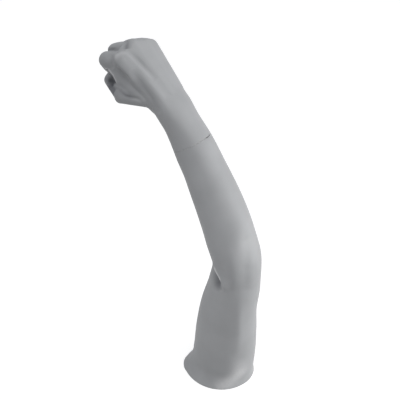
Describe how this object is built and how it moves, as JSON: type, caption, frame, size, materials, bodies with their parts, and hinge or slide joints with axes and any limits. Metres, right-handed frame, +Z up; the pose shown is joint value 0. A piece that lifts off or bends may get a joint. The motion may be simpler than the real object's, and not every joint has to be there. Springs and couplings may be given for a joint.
{
  "type": "mannequin arm with clenched fist",
  "caption": "Matte grey mannequin arm, slightly bent at the elbow, with a clenched fist on a turning, pull-off hand joint; stands on its flat shoulder cut.",
  "frame": {"origin": "centre of the steel plate in the flat shoulder cut, on the plane that the arm stands on", "axes": "+Z up from the shoulder cut towards the fist, -Y towards the outer side of the arm as pictured, +X towards the point of the elbow"},
  "size_m": [0.2264, 0.1831, 0.5147],
  "materials": {
    "painted_skin": "matte light-grey sprayed paint on a moulded shell",
    "plywood": "bare birch plywood",
    "zinc_steel": "zinc-plated steel",
    "screw_steel": "bright zinc-plated steel",
    "spring_steel": "oiled spring steel",
    "magnet": "nickel-plated sintered magnet",
    "nylon": "natural nylon"
  },
  "bodies": {
    "arm": {"arm_shell": "painted_skin", "shoulder_board": "plywood", "shoulder_plate": "zinc_steel", "shoulder_screw_1": "screw_steel", "shoulder_screw_2": "screw_steel", "shoulder_screw_3": "screw_steel", "shoulder_screw_4": "screw_steel", "wrist_board": "plywood", "wrist_socket": "zinc_steel", "socket_screw_1": "screw_steel", "socket_screw_2": "screw_steel", "socket_screw_3": "screw_steel"},
    "peg": {"wrist_peg": "zinc_steel", "peg_washer": "screw_steel", "spring_washer": "spring_steel", "peg_nut": "screw_steel"},
    "hand": {"hand_shell": "painted_skin", "hand_board": "plywood", "hand_plate": "zinc_steel", "hand_magnet": "magnet", "hand_screw_1": "screw_steel", "hand_screw_2": "screw_steel", "hand_screw_3": "screw_steel", "peg_bush": "nylon"}
  },
  "joints": [
    {"name": "hand_pull", "type": "slide", "parent": "arm", "child": "peg", "axis": [-0.4258, 0.2799, 0.8604], "range_m": [0, 0.03]},
    {"name": "hand_turn", "type": "hinge", "parent": "peg", "child": "hand", "pos_m": [-0.0378, 0.0285, 0.3811], "axis": [-0.4258, 0.2799, 0.8604], "continuous": true}
  ]
}
